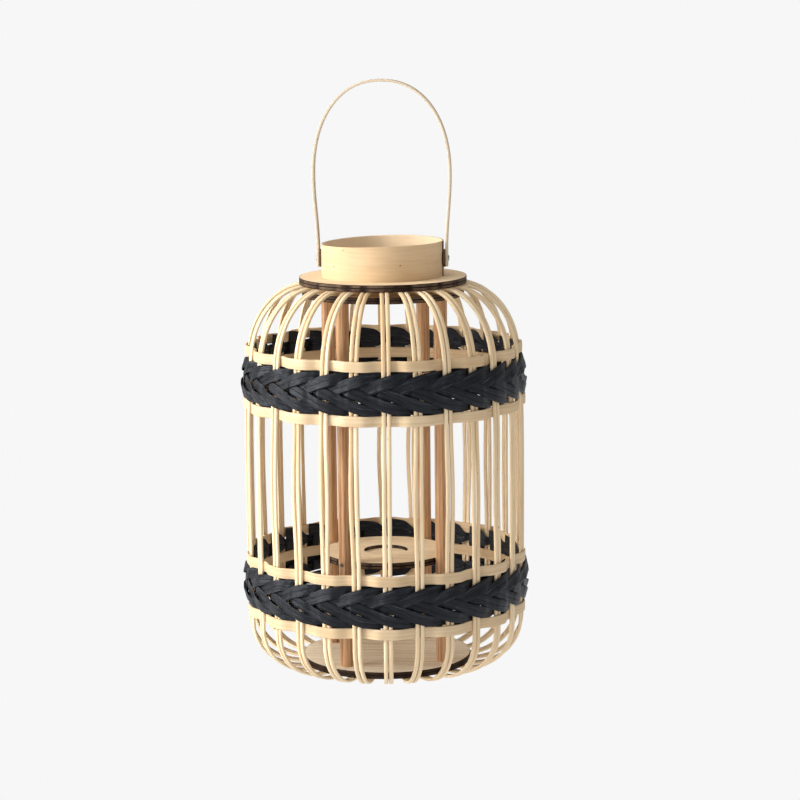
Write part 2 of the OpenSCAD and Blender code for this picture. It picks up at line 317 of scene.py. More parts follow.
def plywood(node):
    """Plywood for one CAD sheet: grained faces, and edges the laser burnt, with two paler plies. On the
    base the face is paler, as painted light, and the edge's paler plies are fainter, as painted shade.
    """
    c = colours()
    low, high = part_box(node)
    material, shader, flow = new_material("plywood_" + node, specular=0.12)
    place = flow.node("ShaderNodeTexCoord", None, None, "Object")
    normal = flow.node("ShaderNodeNewGeometry", None, None, "Normal")
    wall = 1 - step(abs(part_of(normal, "Z")), 0.35, 0.75)
    ply = (part_of(place, "Z") - low.z) * (1.0 / (high.z - low.z))
    seams = 1 - step(abs(abs(ply - 0.5) - 0.17), 0.035, 0.085)
    patch = noise(stretch(place, 90, 90, 30), 3.0)
    # True on the base, whose face gets painted light and whose edge gets painted shade.
    base_painted_light_and_shade = node.startswith("base")
    skin, core = (c.ply_grain, c.ply_face) if node == "rib_clamp_ring" else (c.burnt, c.burnt_light)
    # On the base the paler plies of the edge are made fainter: painted shade on the base's edge.
    burnt = blend(seams * step(patch, 0.30, 0.62) * (0.25 if base_painted_light_and_shade else 1.0), skin, core)
    radius = flow.node(
        "ShaderNodeVectorMath", {"operation": "LENGTH"}, {0: stretch(place, 1, 1, 0)}, "Value")
    halo = step(radius, high.x - 1.1 * MM, high.x - 0.1 * MM)
    line = noise(stretch(place, 14, 430, 60), 3.0, 0.6)
    pore = step(noise(stretch(place, 130, 1500, 60), 2.0), 0.63, 0.76)
    # The base's paler face is painted light.
    light = c.ply_base_painted_light if base_painted_light_and_shade else c.ply_face
    face = blend(step(line, 0.40, 0.72) * 0.55 + pore * 0.3, light, c.ply_grain)
    face = blend(halo * 0.45, face, shaded(c.burnt_light, 0.35))
    base = blend(wall, face, burnt)
    surface(shader, base, 0.55 + line * 0.25, line + pore * 0.5, 0.25, 0.12 * MM)
    return material


# Knots in the collar's veneer: degrees from its seam, height, radius.
COLLAR_KNOTS = ((296, 373.8 * MM, 1.25 * MM), (228, 371.5 * MM, 0.8 * MM))
# Length of veneer texture to a radian round the collar.
COLLAR_UNROLL = 75 * MM


def veneer(name):
    """Thin veneer bent round: faint grain along its length, tiny pin marks, and a burnt lap edge."""
    c = colours()
    material, shader, flow = new_material(name, specular=0.15)
    grain = flow.node("ShaderNodeAttribute", {"attribute_name": "grain"}, None, "Vector")
    burn = flow.node("ShaderNodeAttribute", {"attribute_name": "burn"}, None, "Fac")
    line = noise(stretch(grain, 16, 520, 1), 3.0, 0.6)
    cloud = noise(stretch(grain, 22, 90, 1), 2.0)
    pin = step(noise(stretch(grain, 160, 330, 1), 1.0), 0.77, 0.80)
    mottle = step(line * 0.6 + cloud * 0.5, 0.40, 0.80)
    face = blend(mottle * 0.7, c.veneer_face, c.veneer_grain)
    place = flow.node("ShaderNodeTexCoord", None, None, "Object")
    normal = flow.node("ShaderNodeNewGeometry", None, None, "Normal")
    # Below zero where the surface faces the collar's own axis.
    facing = flow.node(
        "ShaderNodeVectorMath", {"operation": "DOT_PRODUCT"},
        {0: stretch(place, 1, 1, 0), 1: normal}, "Value")
    inside = 1 - step(facing, -0.03, 0.0)
    face = blend(inside * 0.75, face, c.veneer_inside)
    face = blend(pin * 0.8, face, shaded(c.veneer_grain, 0.35))
    for turn, height, size in COLLAR_KNOTS:
        centre = (0.5 * COLLAR_UNROLL * math.radians(turn), height, 0)
        away = flow.node(
            "ShaderNodeVectorMath", {"operation": "DISTANCE"},
            {0: stretch(grain, 0.5, 1, 0), 1: centre}, "Value")
        ragged = away + (cloud - 0.5) * size
        face = blend((1 - step(ragged, 0.35 * size, size)) * 0.75, face, c.knot)
    surface(shader, blend(burn, face, c.burnt), 0.5 + line * 0.2, line + cloud, 0.2, 0.15 * MM)
    return material


def dowel(name, shade=1.0):
    """Reddish dowel: long dark grain up the post with a few knots. A low shade darkens all of it, as
    painted shade.
    """
    c = colours()
    light, dark = shaded(c.dowel_light, shade), shaded(c.dowel_dark, shade)
    material, shader, flow = new_material(name, specular=0.35)
    place = flow.node("ShaderNodeTexCoord", None, None, "Object")
    grain = noise(stretch(place, 420, 420, 7), 4.0, 0.62)
    ray = noise(stretch(place, 1500, 1500, 45), 2.0)
    knot = step(noise(stretch(place, 45, 45, 26), 1.0), 0.70, 0.80)
    base = blend(step(grain * 0.8 + ray * 0.3, 0.40, 0.75), light, dark)
    base = blend(knot * 0.5, base, shaded(dark, 0.5))
    surface(shader, base, 0.55 + ray * 0.2, grain + ray * 0.6, 0.35, 0.15 * MM)
    return material


def metal(name, shade):
    """Dull metal with fine scuffs."""
    material, shader, flow = new_material(name)
    shader.inputs["Metallic"].default_value = 1.0
    place = flow.node("ShaderNodeTexCoord", None, None, "Object")
    scuff = noise(stretch(place, 900, 900, 2400), 3.0, 0.6)
    light = shaded(colours().metal, shade)
    base = blend(scuff, light, shaded(light, 0.7))
    surface(shader, base, 0.28 + scuff * 0.25, scuff, 0.15, 0.05 * MM)
    return material


# ---------------------------------------------------------------------------
# Mesh building
# ---------------------------------------------------------------------------


def rounded_section(width, thickness, corner, crown=0.0):
    """Outline of a flat strip, centred: (across, out) points with round corners and a crowned outside."""
    points = []
    steps = 3
    for quarter, (sx, sy) in enumerate(((1, 1), (-1, 1), (-1, -1), (1, -1))):
        for i in range(steps + 1):
            a = math.radians(90 * quarter + 90 * i / steps)
            across = sx * (width / 2 - corner) + corner * math.cos(a)
            out = sy * (thickness / 2 - corner) + corner * math.sin(a)
            points.append((across, out))
        if (sx, sy) == (1, 1) and crown:
            points += [(width * t, thickness / 2 + crown * (1 - (2 * t) ** 2))
                       for t in (0.25, 0.0, -0.25)]
    return np.array(points)


def split_section(width, thickness):
    """Outline of a split: flat inside at out = 0, and rounded outside."""
    half = width / 2
    arc = [(half * math.cos(math.radians(a)) ** 0.62, 0.42 + 0.58 * math.sin(math.radians(a)))
           for a in (8, 30, 52, 72)]
    side = [(half * 0.86, 0.0), (half * 0.985, 0.12)] + arc
    points = side + [(0.0, 1.0)] + [(-x, y) for x, y in reversed(side)]
    return np.array([(x, y * thickness) for x, y in points])


class Strips:
    """Collects swept strips in one mesh, with the grain that their fibres follow."""

    def __init__(self):
        self.verts = []
        self.faces = []
        self.grain = []
        self.burn = []
        self.count = 0

    def join(self, first, second, count):
        """Makes faces between two rings of count points, which start at these places in the list."""
        for j in range(count):
            k = (j + 1) % count
            self.faces.append((first + j, first + k, second + k, second + j))

    def sweep(self, path, out, section, scale=None, closed=False, seed=0.0):
        """Sweeps section along path. out gives each point's outward direction, and scale its factors
        across and outward."""
        path, out = np.asarray(path, float), np.asarray(out, float)
        n, m = len(path), len(section)
        if closed:
            run = np.roll(path, -1, 0) - np.roll(path, 1, 0)
        else:
            run = np.gradient(path, axis=0)
        run /= np.linalg.norm(run, axis=1)[:, None]
        out = out - (out * run).sum(1)[:, None] * run
        out /= np.linalg.norm(out, axis=1)[:, None]
        across = np.cross(run, out)
        scale = np.ones((n, 2)) if scale is None else np.asarray(scale)
        ring = section[None] * scale[:, None]
        verts = path[:, None] + ring[..., :1] * across[:, None] + ring[..., 1:] * out[:, None]
        along = np.concatenate([[0], np.cumsum(np.linalg.norm(np.diff(path, axis=0), axis=1))])
        grain = np.zeros((n, m, 3))
        grain[..., 0] = along[:, None]
        grain[..., 1] = ring[..., 0] + ring[..., 1]
        # A place of its own in the noise for each strip.
        grain[..., 2] = seed * 3.7
        base = self.count
        for i in range(n if closed else n - 1):
            self.join(base + i * m, base + (i + 1) % n * m, m)
        if not closed:
            self.faces.append(tuple(base + j for j in reversed(range(m))))
            self.faces.append(tuple(base + (n - 1) * m + j for j in range(m)))
        self.verts.append(verts.reshape(-1, 3))
        self.grain.append(grain.reshape(-1, 3))
        self.count += n * m

    def finish(self, name, material, body, slot, *nodes):
        """Makes one piece of the strips, in place of the CAD nodes named."""
        mesh = bpy.data.meshes.new(name)
        mesh.from_pydata(np.concatenate(self.verts).tolist(), [], self.faces)
        grain = mesh.attributes.new("grain", "FLOAT_VECTOR", "POINT")
        grain.data.foreach_set("vector", np.concatenate(self.grain).ravel())
        if self.burn:
            burn = mesh.attributes.new("burn", "FLOAT", "POINT")
            burn.data.foreach_set("value", np.concatenate(self.burn))
        place_piece(name, mesh, material, body, slot, *nodes)


def place_piece(name, mesh, material, body, slot, *nodes):
    """Makes a piece of a mesh, with its faces turned outwards and soft shading between sharp edges."""
    work = bmesh.new()
    work.from_mesh(mesh)
    bmesh.ops.recalc_face_normals(work, faces=work.faces)
    work.to_mesh(mesh)
    work.free()
    mesh.shade_smooth()
    mesh.set_sharp_from_angle(angle=math.radians(42))
    mesh.materials.append(material)
    piece = bpy.data.objects.new(name, mesh)
    bpy.context.collection.objects.link(piece)
    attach(piece, body)
    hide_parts(*nodes)


def finish_cad(node, material, edge):
    """Gives a CAD node its finish and eases its sharp edges."""
    piece = frame["nodes"][node]
    piece.data.materials.clear()
    piece.data.materials.append(material)
    bevel = piece.modifiers.new("eased edges", "BEVEL")
    bevel.width = edge
    bevel.segments = 2
    bevel.limit_method = "ANGLE"
    bevel.angle_limit = math.radians(40)
    bevel.harden_normals = False


def smooth_stops(x, stops):
    """Values at x that ease from one stop (place, value) to the next."""
    places, values = zip(*stops)
    x = np.clip(x, places[0], places[-1])
    i = np.clip(np.searchsorted(places, x, side="right") - 1, 0, len(places) - 2)
    places, values = np.array(places), np.array(values)
    t = (x - places[i]) / (places[i + 1] - places[i])
    return values[i] + (values[i + 1] - values[i]) * t * t * (3 - 2 * t)


def polar(radius, angle, height):
    """Points at a radius and an angle about the lantern's axis."""
    heights = np.broadcast_to(height, np.shape(angle))
    return np.stack([radius * np.cos(angle), radius * np.sin(angle), heights], -1)


# ---------------------------------------------------------------------------
# Shape of the cage
# ---------------------------------------------------------------------------

# Points of a hoop from one rib to the next.
RIB_POINTS = 14
# How far a hoop's middle stands off a rib's face.
HOOP_OFF = 1.0 * MM


def rib_top():
    """Height of the ribs' upper faces under the top plate."""
    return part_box(RIB_NODES[0])[1].z


def rib_foot():
    """Height of the ribs' lower faces over the base disc."""
    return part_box(RIB_NODES[0])[0].z


def rib_radius(z):
    """Outside radius of the ribs at height z."""
    s = sizes()
    dome, heel = rib_top() - s.dome_height, rib_foot() + s.heel_height
    z = np.asarray(z, float)
    up = np.clip((z - s.waist_height) / (dome - s.waist_height), 0, 1)
    down = np.clip((s.waist_height - z) / (s.waist_height - heel), 0, 1)
    side = s.side_radius - (s.side_radius - s.dome_out) * up ** 2.5
    side = side - (s.side_radius - s.heel_out) * down ** 2
    rise = np.clip((z - dome) / s.dome_height, 0, 1)
    return np.where(z > dome, s.dome_in + (s.dome_out - s.dome_in) * np.sqrt(1 - rise ** 2), side)


def rib_profile():
    """Outside line of a rib as (radius, height), from its end under the top plate to its foot."""
    s = sizes()
    top, foot = rib_top(), rib_foot()
    dome, heel = top - s.dome_height, foot + s.heel_height
    a = np.radians(np.linspace(90, 0, 25))
    dome_line = np.stack([
        s.dome_in + (s.dome_out - s.dome_in) * np.cos(a), dome + s.dome_height * np.sin(a)], 1)
    z = np.linspace(dome, heel, 22)[1:-1]
    side_line = np.stack([rib_radius(z), z], 1)
    a = np.radians(np.linspace(0, -90, 23))
    heel_line = np.stack([
        s.heel_in + (s.heel_out - s.heel_in) * np.cos(a), heel + s.heel_height * np.sin(a)], 1)
    end_line = [[s.rib_end, top], [s.rib_end + (s.dome_in - s.rib_end) / 2, top]]
    foot_line = [[(s.heel_in + s.rib_foot) / 2, foot], [s.rib_foot, foot]]
    return np.concatenate([end_line, dome_line, side_line, heel_line, foot_line])


def rib_angle(index):
    """Angle of a rib about the lantern's axis."""
    return (index + 0.5) * PITCH


def any_phase(rng):
    """A random start for a ripple, in radians."""
    return rng.uniform(0, 6.3)


def hoop_wave(angle):
    """1 where a hoop passes outside an even rib and -1 where it passes inside an odd one."""
    s = np.clip(1.25 * np.cos(np.pi * (angle / PITCH - 0.5)), -1, 1)
    return 1.5 * s - 0.5 * s ** 3


# ---------------------------------------------------------------------------
# Pieces of the cage
# ---------------------------------------------------------------------------


class LANTERN_OT_ribs(bpy.types.Operator):
    """Shape each rib from its two splits, bent over the dome, down the side and in under the base"""

    bl_idname = "lantern.ribs"
    bl_label = "Ribs"

    def execute(self, context):
        s, c = sizes(), colours()
        material = bamboo("rib_bamboo", c.bamboo_light, c.bamboo_dark)
        profile = rib_profile()
        run = np.gradient(profile, axis=0)
        out = np.stack([-run[:, 1], run[:, 0]], 1) / np.linalg.norm(run, axis=1)[:, None]
        along = np.concatenate([[0], np.cumsum(np.linalg.norm(np.diff(profile, axis=0), axis=1))])
        section = split_section(s.split_width, s.split_thickness) - [0, s.split_thickness]
        # A rib is held at both ends, and free from this far along it.
        held = 25 * MM
        free = np.clip(along / held, 0, 1) * np.clip((along[-1] - along) / held, 0, 1)
        low_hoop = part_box("lower_band_top_hoop")[1].z
        high_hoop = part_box("upper_band_bottom_hoop")[0].z
        # Between the two bands a rib also bows sideways, and its splits part a little.
        between = np.clip((profile[:, 1] - low_hoop) / (high_hoop - low_hoop), 0, 1)
        between = np.sin(math.pi * between) ** 2
        for index, node in enumerate(RIB_NODES):
            rng = random.Random(node)
            strips = Strips()
            angle = rib_angle(index)
            radial = np.array([math.cos(angle), math.sin(angle), 0])
            side = np.array([-radial[1], radial[0], 0])
            normals = out[:, :1] * radial + out[:, 1:] * np.array([0, 0, 1.0])
            sway = 0
            for _ in range(3):
                amount = rng.uniform(-0.35, 0.35) * MM
                sway = sway + amount * np.sin(along / rng.uniform(28, 70) / MM + any_phase(rng))
            sway = sway * free + rng.uniform(-1.7, 1.7) * MM * between
            part = rng.choice((0.1, 0.2, 0.4, 0.9)) * MM * between
            for sign in (-1, 1):
                own = rng.uniform(-0.12, 0.12) * MM * np.sin(along / (40 * MM) + any_phase(rng))
                apart = (s.split_width + s.split_gap) / 2 + part
                shift = sign * apart + sway + (own + sign * 0.1 * MM) * free
                path = profile[:, :1] * radial + shift[:, None] * side
                path[:, 2] += profile[:, 1]
                scale = np.ones((len(along), 2))
                width = rng.uniform(0.95, 1.0)
                scale[:, 0] = width + 0.03 * np.sin(along / (33 * MM) + any_phase(rng))
                strips.sweep(path, normals, section, scale, seed=index * 2 + sign + rng.random())
            strips.finish(node + "_splits", material, CAGE, "rib_bamboo", node)
        return {"FINISHED"}


class LANTERN_OT_hoops(bpy.types.Operator):
    """Weave the four flat hoops out round every other rib, and lay two inner hoops behind the plaits"""

    bl_idname = "lantern.hoops"
    bl_label = "Hoops"

    def execute(self, context):
        s, c = sizes(), colours()
        material = bamboo("hoop_bamboo", c.hoop_light, c.hoop_dark, 0.48)
        angle = np.linspace(0, 2 * math.pi, RIB_COUNT * RIB_POINTS, endpoint=False)
        outward = polar(1.0, angle, 0.0)
        for band in BANDS:
            side = 1 if band == "upper" else -1
            for place in ("top", "bottom"):
                node = f"{band}_band_{place}_hoop"
                low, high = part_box(node)
                inner = min(rib_radius(low.z), rib_radius(high.z)) - s.split_thickness - HOOP_OFF
                outer = max(rib_radius(low.z), rib_radius(high.z)) + HOOP_OFF
                radius = (inner + outer) / 2 + side * (outer - inner) / 2 * hoop_wave(angle)
                rng = random.Random(node)
                lift = sum(0.12 * MM * np.sin(n * angle + any_phase(rng)) for n in (3, 8, 14))
                path = polar(radius, angle, (low.z + high.z) / 2 + lift)
                width = high.z - low.z - 0.3 * MM
                section = rounded_section(width, s.hoop_thickness, 0.45 * MM, 0.12 * MM)
                strips = Strips()
                strips.sweep(path, outward, section, closed=True, seed=low.z * 90)
                strips.finish(node + "_strip", material, CAGE, "hoop_bamboo", node)
            node = band + "_inner_hoop"
            low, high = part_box(node)
            section = rounded_section(high.z - low.z, s.hoop_thickness, 0.45 * MM)
            path = polar(high.x - s.hoop_thickness / 2, angle, (low.z + high.z) / 2)
            strips = Strips()
            strips.sweep(path, outward, section, closed=True, seed=low.z * 70)
            strips.finish(node + "_strip", material, CAGE, "hoop_bamboo", node)
        return {"FINISHED"}


# Edges of a plait strip: place along the ring in rib pitches from the rib that it crosses, then
# millimetres from the band's middle.
OUTER_EDGE = (
    (-1.5, -1.2), (-0.9, 5.3), (-0.5, 10.3), (-0.1, 15.0), (0.2, 17.3), (0.5, 18.3), (1.04, 18.4),
    (1.14, 23.5), (1.3, 26.5), (1.95, 28.5))
INNER_EDGE = (
    (-1.5, -10.3), (-0.625, -2.0), (-0.44, 0.6), (0.0, 5.0), (0.5, 9.6), (0.9, 11.7), (1.15, 7.6),
    (1.95, 7.8))
# How far the same edges stand off the outside of the ribs, in millimetres.
OUTER_LIFT = (
    (-1.5, -2.4), (-1.32, -1.6), (-1.14, 0.6), (-0.5, 0.8), (0.1, 1.7), (0.4, 0.9), (0.62, -1.0),
    (0.83, -3.1), (1.0, -5.0), (1.95, -5.5))
INNER_LIFT = (
    (-1.5, -2.4), (-1.32, -1.6), (-1.14, 0.6), (-0.6, 1.1), (-0.3, 2.5), (-0.1, 4.1), (0.2, 4.1),
    (0.55, 0.5), (0.83, -3.1), (1.0, -5.0), (1.95, -5.5))
# What the strips that slope the other way add to both, to pass over the first ones.
START_LIFT = ((-1.5, 1.15), (-0.75, 1.15), (-0.45, 0.1), (1.95, 0.0))
# Where a strand starts on that scale, and how much later at the most.
START = -1.48
START_SPREAD = 0.06
# Where it ends at the earliest and at the latest, and where its loose end begins to stray.
END = (1.64, 1.93)
STRAY = 1.08
# Points along a strand, and how many of them its edges are smoothed over.
STRAND_POINTS = 76
SMOOTHED = 7


def smoothed(values):
    """Each value averaged with its neighbours along a strand."""
    padded = np.pad(values, SMOOTHED // 2, "edge")
    return np.convolve(padded, np.ones(SMOOTHED) / SMOOTHED, "valid")


def plait_strand(rng, rib, centre, sign, share, nudge):
    """Path, outward directions and scale of one strand.

    Its strip crosses the rib at the angle rib. sign is 1 where the strip climbs and -1 where it
    falls, share is the part of its width that the strand takes, and nudge moves its inner edge.
    """
    start = START + rng.uniform(0, START_SPREAD)
    x = np.linspace(start, rng.uniform(*END), STRAND_POINTS)
    outer = np.interp(x, *zip(*OUTER_EDGE))
    outer += rng.uniform(-1.9, 1.0) * np.clip((x - STRAY) / 0.15, 0, 1)
    inner = np.interp(x, *zip(*INNER_EDGE))
    outer, inner = smoothed(outer + nudge * 0.3), smoothed(inner + nudge)
    lift_out, lift_in = smooth_stops(x, OUTER_LIFT), smooth_stops(x, INNER_LIFT)
    if sign < 0:
        lift_out = lift_out + smooth_stops(x, START_LIFT)
        lift_in = lift_in + smooth_stops(x, START_LIFT)
    edges = []
    for t in share:
        z = centre + sign * (outer + (inner - outer) * t) * MM
        radius = rib_radius(z) + (lift_out + (lift_in - lift_out) * t) * MM
        edges.append(polar(radius, rib + x * PITCH, z))
    path = (edges[0] + edges[1]) / 2
    across = edges[1] - edges[0]
    run = np.gradient(path, axis=0)
    out = np.cross(run, across)
    out *= np.sign((out * path * [1, 1, 0]).sum(1))[:, None]
    flat = across - run * ((across * run).sum(1) / (run * run).sum(1))[:, None]
    scale = np.ones((len(x), 2))
    scale[:, 0] = np.linalg.norm(flat, axis=1) / sizes().strand_width * rng.uniform(1.0, 1.03)
    return path, out, scale


class LANTERN_OT_plaits(bpy.types.Operator):
    """Plait the two black bands of strips whose two strands cross one rib and tuck behind the next"""

    bl_idname = "lantern.plaits"
    bl_label = "Plaits"

    def execute(self, context):
        s = sizes()
        material = dyed_strip("dyed_braid")
        section = rounded_section(s.strand_width, s.strand_thickness, 0.35 * MM, 0.1 * MM)
        for band in BANDS:
            node = band + "_braid"
            low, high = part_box(node)
            centre = (low.z + high.z) / 2
            rng = random.Random(node)
            strips = Strips()
            for index in range(RIB_COUNT):
                for sign in (1, -1):
                    nudge = rng.uniform(-0.35, 0.35)
                    for strand, share in enumerate(((0.0, 0.5), (0.5, 1.0))):
                        path, out, scale = plait_strand(
                            rng, rib_angle(index), centre, sign, share, nudge)
                        seed = index * 4 + sign + strand * 0.5
                        strips.sweep(path, out, section, scale, seed=seed)
            strips.finish(node + "_strands", material, CAGE, "dyed_braid", node)
        return {"FINISHED"}


# ---------------------------------------------------------------------------
# Frame, collar, handle and fasteners
# ---------------------------------------------------------------------------


class LANTERN_OT_plywood(bpy.types.Operator):
    """Give the plywood sheets their grained faces and burnt edges"""

    bl_idname = "lantern.plywood"
    bl_label = "Plywood"

    def execute(self, context):
        for node in PLY_NODES:
            finish_cad(node, plywood(node), 0.15 * MM)
        return {"FINISHED"}


class LANTERN_OT_posts(bpy.types.Operator):
    """Give the four dowel posts their reddish wood, and the handle's spacers the same wood darkened as
    painted shade
    """

    bl_idname = "lantern.posts"
    bl_label = "Posts"

    def execute(self, context):
        material = dowel("dowel_wood")
        for node in POST_NODES:
            finish_cad(node, material, 0.4 * MM)
        # The spacers sit in shade between the handle and the collar: their wood is darkened as painted
        # shade.
        spacer_painted_shade = dowel("spacer_wood_painted_shade", 0.22)
        for node in ("spacer_right", "spacer_left"):
            finish_cad(node, spacer_painted_shade, 0.15 * MM)
        return {"FINISHED"}


class LANTERN_OT_collar(bpy.types.Operator):
    """Bend the collar's veneer into a ring, with the step where its end laps over"""

    bl_idname = "lantern.collar"
    bl_label = "Collar"

    def execute(self, context):
        s = sizes()
        low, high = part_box("collar")
        inner = float(np.linalg.norm(
            np.array([v.co.xy for v in frame["nodes"]["collar"].data.vertices]), axis=1).min())
        seam = math.radians(-4)
        turn = np.linspace(0, 2 * math.pi, 181)
        # Where the outside begins to draw in, in radians from the seam, so that the start laps the end.
        lap = 5.6
        thin = s.veneer_lap * np.clip((turn - lap) / (2 * math.pi - lap), 0, 1) ** 1.5
        outer = high.x - thin
        edge = 0.35 * MM
        rim = high.z - s.collar_slope * ((1 - np.cos(seam + turn)) / 2) ** 2
        # Corners of the section: radius, height, and how brown the laser left it.
        corners = (
            (inner, low.z, 0.0), (outer, low.z, 0.0), (outer, rim - edge, 0.0),
            (outer - edge, rim, 0.12), (inner + edge, rim, 0.12), (inner, rim - edge, 0.0))
        strips = Strips()
        m, n = len(corners), len(turn)
        verts = np.stack([polar(radius, seam + turn, z) for radius, z, _ in corners], 1)
        grain = np.zeros((n, m, 3))
        grain[..., 0] = (turn * COLLAR_UNROLL)[:, None]
        for j, (radius, z, _) in enumerate(corners):
            grain[:, j, 1] = z + radius - inner
        burn = np.broadcast_to([brown for _, _, brown in corners], (n, m))
        for i in range(n - 1):
            strips.join(i * m, (i + 1) * m, m)
        # The cut end: its own points, so that only this face is burnt.
        end = np.concatenate([verts[0], verts[-1]])
        strips.verts = [verts.reshape(-1, 3), end]
        strips.grain = [grain.reshape(-1, 3), np.zeros((2 * m, 3))]
        strips.burn = [burn.ravel(), np.ones(2 * m)]
        strips.join(n * m, n * m + m, m)
        strips.finish("collar_veneer", veneer("collar_veneer"), CAGE, "veneer", "collar")
        return {"FINISHED"}


def handle_line():
    """Middle line of the handle's strip as (x, z), from its right end over the top to its left end."""
    s = sizes()
    low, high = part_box("handle")
    rivet_low, rivet_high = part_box("rivet_right")
    pivot = (rivet_low.z + rivet_high.z) / 2
    foot = (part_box("spacer_right")[1].x + 0.15 * MM) + s.handle_thickness / 2
    spread = high.x - s.handle_thickness / 2 - foot
    tail = np.stack([np.full(6, foot), np.linspace(low.z, pivot + s.handle_flat, 6)], 1)[:-1]
    u = np.linspace(0, 1, 26)
    rise = np.stack([
        foot + spread * (1 - np.cos(math.pi * u)) / 2,
        pivot + s.handle_flat + (s.handle_wide - s.handle_flat) * u], 1)
    a = np.radians(np.linspace(0, 90, 34))
    top = high.z - s.handle_thickness / 2 - pivot - s.handle_wide
    full = 2 / s.handle_fullness
    arch = np.stack([
        (foot + spread) * np.clip(np.cos(a), 0, 1) ** full,
        pivot + s.handle_wide + top * np.sin(a) ** full], 1)[1:]
    half = np.concatenate([tail, rise, arch])
    # Close points at the end, for its round corners.
    ends = half[0] + np.array([[0, 0.0], [0, 0.12], [0, 0.5], [0, 1.0], [0, 1.8]]) * MM
    half = np.concatenate([ends, half[1:]])
    return np.concatenate([half, half[-2::-1] * [-1, 1]])


class LANTERN_OT_handle(bpy.types.Operator):
    """Bend the handle's strip up from one rivet, over the top and down to the other"""

    bl_idname = "lantern.handle"
    bl_label = "Handle"

    def execute(self, context):
        s, c = sizes(), colours()
        line = handle_line()
        run = np.gradient(line, axis=0)
        out = np.stack([run[:, 1], -run[:, 0]], 1)
        path = np.stack([line[:, 0], np.zeros(len(line)), line[:, 1]], 1)
        normals = np.stack([out[:, 0], np.zeros(len(line)), out[:, 1]], 1)
        along = np.concatenate([[0], np.cumsum(np.linalg.norm(np.diff(path, axis=0), axis=1))])
        from_end = np.minimum(along, along[-1] - along)
        scale = np.ones((len(along), 2))
        # The ends have round corners, and the width wavers a little.
        corner = 1.8 * MM
        bite = np.sqrt(np.clip(1 - (1 - np.clip(from_end / corner, 0, 1)) ** 2, 0, 1))
        scale[:, 0] = 1 - (1 - bite) * 2 * corner / s.handle_width
        scale[:, 0] *= 1 + 0.012 * np.sin(along / (31 * MM)) + 0.008 * np.sin(along / (13 * MM) + 1)
        scale[:, 1] = 0.72 + 0.28 * np.clip(from_end / (0.5 * MM), 0, 1)
        section = rounded_section(s.handle_width, s.handle_thickness, 0.6 * MM, 0.15 * MM)
        strips = Strips()
        strips.sweep(path, normals, section, scale, seed=3.1)
        material = bamboo("handle_bamboo", c.handle_light, c.handle_dark, 0.5, 0.1)
        strips.finish("handle_strip", material, BAIL, "handle_bamboo", "handle")
        return {"FINISHED"}


def lathe(name, profile, centre, material, body, slot, node):
    """A round piece about a line along X: profile is (distance along X, radius) pairs."""
    work = bmesh.new()
    steps = 40
    rings = []
    for x, radius in profile:
        rings.append([
            work.verts.new(centre + Vector((x, radius * math.cos(a), radius * math.sin(a))))
            for a in (2 * math.pi * i / steps for i in range(steps))])
    for first, second in zip(rings, rings[1:]):
        for i in range(steps):
            work.faces.new((first[i], first[(i + 1) % steps], second[(i + 1) % steps], second[i]))
    work.faces.new(rings[0])
    work.faces.new(list(reversed(rings[-1])))
    mesh = bpy.data.meshes.new(name)
    work.to_mesh(mesh)
    work.free()
    place_piece(name, mesh, material, body, slot, node)


class LANTERN_OT_fasteners(bpy.types.Operator):
    """Shape the two domed rivets, and finish the nails and screws"""

    bl_idname = "lantern.fasteners"
    bl_label = "Fasteners"

    def execute(self, context):
        rivet = metal("rivet_metal", 0.8)
        steel = metal("steel", 0.55)
        for name, side in (("rivet_right", 1), ("rivet_left", -1)):
            low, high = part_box(name)
            span, radius = high.x - low.x, (high.z - low.z) / 2
            head, shank = 1.0 * MM, 1.5 * MM
            dome = [(span - head * (1 - t), radius * math.sqrt(1 - 0.92 * t * t))
                    for t in (0, 0.3, 0.6, 0.85, 1)]
            outline = [(0, radius * 0.8), (0.25 * MM, radius), (head, radius), (head, shank),
                       (span - head, shank)] + dome
            inside = low.x if side > 0 else high.x
            profile = [(side * x, r) for x, r in outline]
            centre = Vector((inside, (low.y + high.y) / 2, (low.z + high.z) / 2))
            body = frame["nodes"][name]["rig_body"]
            lathe(name + "_domed", profile, centre, rivet, body, "rivet_metal", name)
        for node in ("platform_nails", "ring_screws", "base_screws"):
            finish_cad(node, steel, 0.1 * MM)
        return {"FINISHED"}


# ---------------------------------------------------------------------------
# Floor, backdrop, light and camera
# ---------------------------------------------------------------------------


PAPER_WHITE = (0.93, 0.93, 0.93, 1)


def area_light(name, place, target, size, power, shade=(1, 1, 1)):
    """A soft rectangular light at a place, aimed at a target."""
    light = bpy.data.lights.new(name, "AREA")
    light.shape = "RECTANGLE"
    light.size, light.size_y = size
    light.energy = power
    light.color = shade
    lamp = bpy.data.objects.new(name, light)
    lamp.location = place
    lamp.rotation_euler = (Vector(target) - Vector(place)).to_track_quat("-Z", "Y").to_euler()
    bpy.context.collection.objects.link(lamp)


def sky(scene):
    """Pale light from all round, stronger from below, where a white floor would send it back up."""
    world = bpy.data.worlds.new("studio")
    scene.world = world
    world.use_nodes = True
    background = world.node_tree.nodes["Background"]
    background.inputs["Color"].default_value = PAPER_WHITE
    flow = Flow(world.node_tree)
    height = part_of(flow.node("ShaderNodeTexCoord", None, None, "Generated"), "Z")
    strength = (1 - step(height, -0.35, 0.05)) * 0.7 + 0.45
    world.node_tree.links.new(strength.socket, background.inputs["Strength"])


def sweep_paper():
    """Paper of one even white, whatever falls on it."""
    material = bpy.data.materials.new("sweep_paper")
    material.use_nodes = True
    tree = material.node_tree
    tree.nodes.remove(tree.nodes["Principled BSDF"])
    glow = tree.nodes.new("ShaderNodeEmission")
    glow.inputs["Color"].default_value = PAPER_WHITE
    tree.links.new(glow.outputs[0], tree.nodes["Material Output"].inputs["Surface"])
    return material


